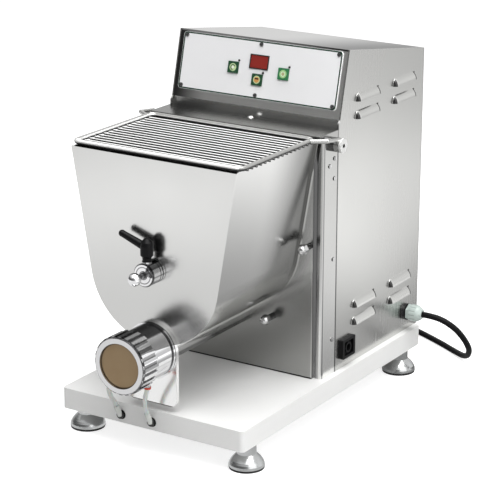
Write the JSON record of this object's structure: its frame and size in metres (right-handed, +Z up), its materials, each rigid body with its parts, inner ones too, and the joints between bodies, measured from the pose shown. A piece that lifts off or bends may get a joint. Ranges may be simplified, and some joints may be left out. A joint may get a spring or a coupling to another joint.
{
  "type": "electric pasta maker",
  "caption": "Countertop pasta extruder: white board on levelling feet, steel casing with sloped control head, dough hopper with wire lid, and a cooled press mouth with a bronze die.",
  "frame": {"origin": "on the table, under the middle of the machine without its lead", "axes": "+Z up, +X to the machine's right as it faces the user, +Y from the mouth to the casing's back"},
  "size_m": [0.4269, 0.7095, 0.5271],
  "materials": {
    "board_white": "smooth white plastic board",
    "foot_chrome": "polished levelling foot on a thin rubber pad",
    "screw_steel": "polished steel",
    "casing_steel": "satin stainless steel sheet",
    "column_steel": "satin stainless steel plate in shade",
    "cover_steel": "dark satin stainless steel",
    "fascia_grey": "mid grey sheet",
    "panel_white": "white plate with a thin dark green border line",
    "display_black": "black plastic",
    "display_red": "dark red display window",
    "button_green": "dark green push button with a pale pictogram disc",
    "circuit_board": "green circuit board",
    "hopper_steel": "polished stainless steel",
    "mouth_chrome": "polished chrome",
    "die_bronze": "smooth bronze",
    "food_steel": "food grade stainless steel",
    "gear_steel": "machined steel gear, greased",
    "bush_bronze": "sintered bronze",
    "seal_white": "white shaft seal",
    "cast_aluminium": "cast aluminium",
    "motor_paint": "painted cast aluminium motor",
    "lever_black": "glossy black handle",
    "lid_steel": "welded stainless steel wire",
    "cap_white": "white plastic cap",
    "gland_black": "black washer",
    "gland_grey": "light grey plastic gland",
    "socket_black": "black plastic socket",
    "hose_clear": "milky silicone hose",
    "collar_red": "red plastic ring",
    "lead_black": "black rubber sheath",
    "pin_brass": "nickel plated brass pin"
  },
  "bodies": {
    "machine": {"base_board": "board_white", "casing_screws": "screw_steel", "column_frame": "casing_steel", "column_plate": "column_steel", "column_cover": "cover_steel", "side_panel_right": "casing_steel", "side_panel_left": "casing_steel", "top_panel": "casing_steel", "rear_panel": "casing_steel", "head_fascia": "fascia_grey", "control_panel": "panel_white", "display_bezel": "display_black", "display_window": "display_red", "led_lenses": "display_black", "control_board": "circuit_board", "hopper_trough": "hopper_steel", "hopper_front": "hopper_steel", "hopper_rear": "hopper_steel", "barrel": "hopper_steel", "mouth_plate": "hopper_steel", "mouth_body": "mouth_chrome", "die": "die_bronze", "shaft_bearings": "bush_bronze", "shaft_seals": "seal_white", "gear_case": "cast_aluminium", "gearmotor": "motor_paint", "power_board": "circuit_board", "shaft_boss": "mouth_chrome", "fixing_studs": "screw_steel", "hinge_bosses": "screw_steel", "hinge_caps": "cap_white", "gland_washer": "gland_black", "gland_body": "gland_grey", "gland_nut": "gland_grey", "outlet_socket": "socket_black", "cooling_hoses": "hose_clear", "hose_fittings": "mouth_chrome", "hose_collars": "collar_red", "power_lead": "lead_black", "lead_coil": "lead_black", "lead_tail": "lead_black", "plug_body": "lead_black", "plug_pins": "pin_brass"},
    "foot_front_left": {"foot_front_left": "foot_chrome"},
    "foot_front_right": {"foot_front_right": "foot_chrome"},
    "foot_rear_left": {"foot_rear_left": "foot_chrome"},
    "foot_rear_right": {"foot_rear_right": "foot_chrome"},
    "lid": {"wire_lid": "lid_steel", "lid_arms": "lid_steel"},
    "ring": {"ring_nut": "mouth_chrome"},
    "mixer": {"mixing_shaft": "food_steel", "mixer_gear": "gear_steel"},
    "screw": {"press_screw": "food_steel", "screw_gear": "gear_steel"},
    "pinion": {"drive_pinion": "gear_steel"},
    "lever": {"clamp_lever": "lever_black"},
    "pin": {"pull_pin": "mouth_chrome"},
    "left_button": {"button_left": "button_green"},
    "middle_button": {"button_middle": "button_green"},
    "right_button": {"button_right": "button_green"}
  },
  "joints": [
    {"name": "lid_hinge", "type": "hinge", "parent": "machine", "child": "lid", "pos_m": [0, 0.018, 0.406], "axis": [-1, 0, 0], "range_deg": [0, 100]},
    {"name": "mixer_spin", "type": "hinge", "parent": "machine", "child": "mixer", "pos_m": [0, 0, 0.26], "axis": [0, 1, 0], "continuous": true},
    {"name": "screw_spin", "type": "hinge", "parent": "machine", "child": "screw", "pos_m": [0, 0, 0.15], "axis": [0, 1, 0], "continuous": true},
    {"name": "pinion_spin", "type": "hinge", "parent": "machine", "child": "pinion", "pos_m": [0.074, 0, 0.15], "axis": [0, 1, 0], "continuous": true},
    {"name": "ring_nut_turn", "type": "hinge", "parent": "machine", "child": "ring", "pos_m": [0, 0, 0.15], "axis": [0, -1, 0], "range_deg": [0, 1080]},
    {"name": "clamp_lever_turn", "type": "hinge", "parent": "machine", "child": "lever", "pos_m": [0, -0.22, 0.26], "axis": [0, 0, 1], "range_deg": [0, 170]},
    {"name": "pin_pull", "type": "slide", "parent": "machine", "child": "pin", "axis": [0, -1, 0], "range_m": [0, 0.024]},
    {"name": "left_button_press", "type": "slide", "parent": "machine", "child": "left_button", "axis": [0, 0.9703, -0.2419], "range_m": [0, 0.0012], "stiffness_N_per_m": 300, "springref_m": -0.002},
    {"name": "middle_button_press", "type": "slide", "parent": "machine", "child": "middle_button", "axis": [0, 0.9703, -0.2419], "range_m": [0, 0.0012], "stiffness_N_per_m": 300, "springref_m": -0.002},
    {"name": "right_button_press", "type": "slide", "parent": "machine", "child": "right_button", "axis": [0, 0.9703, -0.2419], "range_m": [0, 0.0012], "stiffness_N_per_m": 300, "springref_m": -0.002},
    {"name": "foot_front_left_level", "type": "slide", "parent": "machine", "child": "foot_front_left", "axis": [0, 0, -1], "range_m": [0, 0.01]},
    {"name": "foot_front_right_level", "type": "slide", "parent": "machine", "child": "foot_front_right", "axis": [0, 0, -1], "range_m": [0, 0.01]},
    {"name": "foot_rear_left_level", "type": "slide", "parent": "machine", "child": "foot_rear_left", "axis": [0, 0, -1], "range_m": [0, 0.01]},
    {"name": "foot_rear_right_level", "type": "slide", "parent": "machine", "child": "foot_rear_right", "axis": [0, 0, -1], "range_m": [0, 0.01]}
  ],
  "couplings": [
    {"joint": "screw_spin", "follows": "mixer_spin", "ratio": -1.3913},
    {"joint": "pinion_spin", "follows": "mixer_spin", "ratio": 2.2857}
  ]
}
